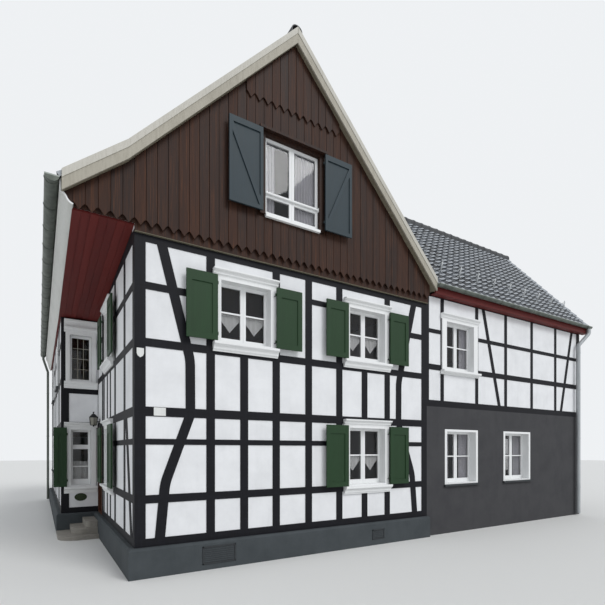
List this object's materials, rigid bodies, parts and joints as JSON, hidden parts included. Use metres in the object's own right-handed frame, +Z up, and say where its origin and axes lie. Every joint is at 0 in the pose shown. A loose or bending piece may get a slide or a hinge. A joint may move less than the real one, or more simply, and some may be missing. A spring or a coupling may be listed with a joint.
{
  "type": "half timbered house",
  "caption": "Half timbered house with a boarded gable, hinged shutters, a recessed side entrance and a lower wing.",
  "frame": {"origin": "middle of the house's box at ground level", "axes": "+X to the right along the gable front, towards the wing; +Y to the back; +Z up"},
  "size_m": [15.565, 14.555, 10.5198],
  "materials": {
    "timber": "black stained timber, semi-gloss",
    "infill": "white lime render",
    "render": "dark grey render",
    "plinth": "anthracite painted render",
    "floor_boards": "plain boards",
    "roof_tile": "dark grey clay pantiles",
    "brown_board": "dark brown stained boards",
    "barge_board": "cream painted boards",
    "pale_board": "pale grey painted boards",
    "slate_sill": "dark slate",
    "oxblood_board": "oxblood painted boards",
    "zinc": "weathered zinc",
    "white_joinery": "white painted wood",
    "window_glass": "clear glass",
    "green_shutter": "green painted wood",
    "slate_shutter": "slate blue painted wood",
    "iron": "black painted iron",
    "step_stone": "worn stone"
  },
  "bodies": {
    "house": {"attic_floors": "floor_boards", "back_frame": "timber", "barge_boards": "barge_board", "casements": "white_joinery", "door_frame": "brown_board", "door_toplight": "window_glass", "downpipes": "zinc", "fascias": "pale_board", "front_cladding": "brown_board", "front_frame": "timber", "front_infill": "infill", "gable_casings": "brown_board", "gable_walls": "infill", "ground_floors": "floor_boards", "gutters": "zinc", "knee_walls": "infill", "lantern": "iron", "left_ground_frame": "timber", "left_upper_frame": "timber", "main_roof_left": "roof_tile", "main_roof_right": "roof_tile", "plinth": "plinth", "rear_cladding": "brown_board", "rear_infill": "infill", "rear_left_frame": "timber", "recess_infill": "infill", "return_frame": "timber", "ridge_caps": "roof_tile", "right_frame": "timber", "shutter_pintles": "iron", "soffits": "oxblood_board", "steps": "step_stone", "stone_sills": "slate_sill", "upper_floors": "floor_boards", "window_casings": "white_joinery", "window_glass": "window_glass", "wing_back_frame": "timber", "wing_end_frame": "timber", "wing_fascias": "oxblood_board", "wing_front_frame": "timber", "wing_ground_back": "render", "wing_ground_end": "render", "wing_ground_front": "render", "wing_infill": "infill", "wing_roof_back": "roof_tile", "wing_roof_front": "roof_tile"},
    "front_upper_left_shutter_left": {"front_upper_left_shutter_left": "green_shutter"},
    "front_upper_left_shutter_right": {"front_upper_left_shutter_right": "green_shutter"},
    "front_upper_right_shutter_left": {"front_upper_right_shutter_left": "green_shutter"},
    "front_upper_right_shutter_right": {"front_upper_right_shutter_right": "green_shutter"},
    "front_ground_shutter_left": {"front_ground_shutter_left": "green_shutter"},
    "front_ground_shutter_right": {"front_ground_shutter_right": "green_shutter"},
    "recess_upper_shutter_rear": {"recess_upper_shutter_rear": "green_shutter"},
    "recess_upper_shutter_front": {"recess_upper_shutter_front": "green_shutter"},
    "recess_ground_shutter_rear": {"recess_ground_shutter_rear": "green_shutter"},
    "recess_ground_shutter_front": {"recess_ground_shutter_front": "green_shutter"},
    "return_shutter": {"return_shutter": "green_shutter"},
    "gable_shutter_left": {"gable_shutter_left": "slate_shutter"},
    "gable_shutter_right": {"gable_shutter_right": "slate_shutter"},
    "entrance_door": {"entrance_door": "brown_board"}
  },
  "joints": [
    {"name": "front_upper_left_shutter_left_hinge", "type": "hinge", "parent": "house", "child": "front_upper_left_shutter_left", "pos_m": [-5.078, -7.0325, 4.1], "axis": [0, 0, 1], "range_deg": [0, 180]},
    {"name": "front_upper_left_shutter_right_hinge", "type": "hinge", "parent": "house", "child": "front_upper_left_shutter_right", "pos_m": [-3.903, -7.0325, 4.1], "axis": [0, 0, -1], "range_deg": [0, 180]},
    {"name": "front_upper_right_shutter_left_hinge", "type": "hinge", "parent": "house", "child": "front_upper_right_shutter_left", "pos_m": [-2.13, -7.0325, 4.1], "axis": [0, 0, 1], "range_deg": [0, 180]},
    {"name": "front_upper_right_shutter_right_hinge", "type": "hinge", "parent": "house", "child": "front_upper_right_shutter_right", "pos_m": [-0.955, -7.0325, 4.1], "axis": [0, 0, -1], "range_deg": [0, 180]},
    {"name": "front_ground_shutter_left_hinge", "type": "hinge", "parent": "house", "child": "front_ground_shutter_left", "pos_m": [-2.13, -7.0325, 1.34], "axis": [0, 0, 1], "range_deg": [0, 180]},
    {"name": "front_ground_shutter_right_hinge", "type": "hinge", "parent": "house", "child": "front_ground_shutter_right", "pos_m": [-0.955, -7.0325, 1.34], "axis": [0, 0, -1], "range_deg": [0, 180]},
    {"name": "recess_upper_shutter_rear_hinge", "type": "hinge", "parent": "house", "child": "recess_upper_shutter_rear", "pos_m": [-6.5775, -3.315, 4.1], "axis": [0, 0, 1], "range_deg": [0, 180]},
    {"name": "recess_upper_shutter_front_hinge", "type": "hinge", "parent": "house", "child": "recess_upper_shutter_front", "pos_m": [-6.5775, -4.49, 4.1], "axis": [0, 0, -1], "range_deg": [0, 180]},
    {"name": "recess_ground_shutter_rear_hinge", "type": "hinge", "parent": "house", "child": "recess_ground_shutter_rear", "pos_m": [-6.5775, -3.315, 1.34], "axis": [0, 0, 1], "range_deg": [0, 180]},
    {"name": "recess_ground_shutter_front_hinge", "type": "hinge", "parent": "house", "child": "recess_ground_shutter_front", "pos_m": [-6.5775, -4.49, 1.34], "axis": [0, 0, -1], "range_deg": [0, 180]},
    {"name": "return_shutter_hinge", "type": "hinge", "parent": "house", "child": "return_shutter", "pos_m": [-7.2175, -1.8725, 1.18], "axis": [0, 0, 1], "range_deg": [0, 180]},
    {"name": "gable_shutter_left_hinge", "type": "hinge", "parent": "house", "child": "gable_shutter_left", "pos_m": [-4.2225, -7.1325, 6.64], "axis": [0, 0, 1], "range_deg": [0, 180]},
    {"name": "gable_shutter_right_hinge", "type": "hinge", "parent": "house", "child": "gable_shutter_right", "pos_m": [-2.8325, -7.1325, 6.64], "axis": [0, 0, -1], "range_deg": [0, 180]},
    {"name": "entrance_door_hinge", "type": "hinge", "parent": "house", "child": "entrance_door", "pos_m": [-6.3815, -1.8575, 0.545], "axis": [0, 0, 1], "range_deg": [0, 90]}
  ]
}
